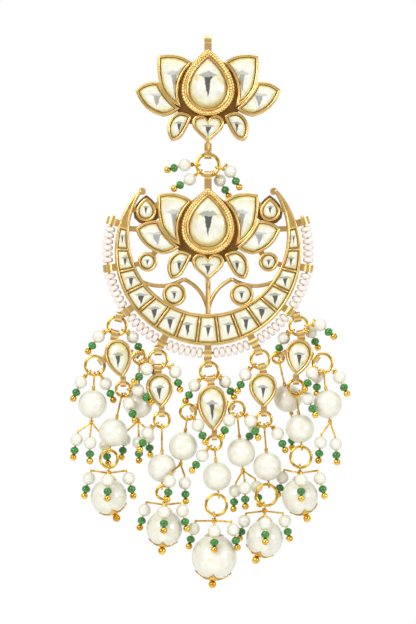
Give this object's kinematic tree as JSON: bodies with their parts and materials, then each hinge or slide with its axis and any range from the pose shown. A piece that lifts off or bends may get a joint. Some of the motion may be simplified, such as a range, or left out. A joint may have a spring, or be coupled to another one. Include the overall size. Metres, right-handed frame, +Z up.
{
  "type": "chandbali earring",
  "caption": "Chandbali drop earring with lotus stud, stone-set crescent, bead string, and a fringe of pear drops, pearls and small dangles on rings.",
  "frame": {"origin": "base of the ear post, in the back face of the stud's setting", "axes": "+Z up along the hang, front faces -Y, +X to the wearer's left as seen from the front; the post runs along +Y"},
  "size_m": [0.0585, 0.0178, 0.1153],
  "materials": {
    "gold_settings": "satin antique gold plating",
    "gold_wire": "polished gold plating",
    "kundan_stones": "foil-backed cut glass",
    "pearls": "pearl lustre",
    "seed_beads": "pearl lustre"
  },
  "bodies": {
    "stud": {"stud_frame": "gold_settings", "stud_drop_stone": "kundan_stones", "stud_petal_upper_left": "kundan_stones", "stud_petal_upper_right": "kundan_stones", "stud_petal_side_left": "kundan_stones", "stud_petal_side_right": "kundan_stones", "stud_heart_stone": "kundan_stones", "stud_leaf_left": "kundan_stones", "stud_leaf_right": "kundan_stones"},
    "drop": {"link_ring": "gold_wire", "chand_frame": "gold_settings", "chand_drop_stone": "kundan_stones", "chand_petal_upper_left": "kundan_stones", "chand_petal_upper_right": "kundan_stones", "chand_petal_side_left": "kundan_stones", "chand_petal_side_right": "kundan_stones", "chand_heart_stone": "kundan_stones", "chand_leaf_left": "kundan_stones", "chand_leaf_right": "kundan_stones", "chand_corner_stones": "kundan_stones", "chand_round_stones": "kundan_stones", "band_stones": "kundan_stones", "seed_string": "seed_beads", "pear_rings": "gold_wire", "strand_rings": "gold_wire", "pear_setting_1": "gold_settings", "pear_setting_2": "gold_settings", "pear_setting_3": "gold_settings", "pear_setting_4": "gold_settings", "pear_setting_5": "gold_settings", "pear_stones": "kundan_stones", "mid_pearls_left": "pearls", "mid_pearls_right": "pearls", "mid_pins_left": "gold_wire", "mid_pins_right": "gold_wire", "drop_rings": "gold_wire", "bottom_pearl_1": "pearls", "bottom_pearl_2": "pearls", "bottom_pearl_3": "pearls", "bottom_pearl_4": "pearls", "bottom_pearl_5": "pearls", "bottom_pin_1": "gold_wire", "bottom_pin_2": "gold_wire", "bottom_pin_3": "gold_wire", "bottom_pin_4": "gold_wire", "bottom_pin_5": "gold_wire", "dangle_pearls": "pearls", "dangle_pins": "gold_wire", "cluster_pearls": "pearls", "crown_pearls": "pearls"}
  },
  "joints": [
    {"name": "drop_swing", "type": "hinge", "parent": "stud", "child": "drop", "pos_m": [0, -0.0013, -0.0139], "axis": [1, 0, 0], "range_deg": [-40, 40]}
  ]
}
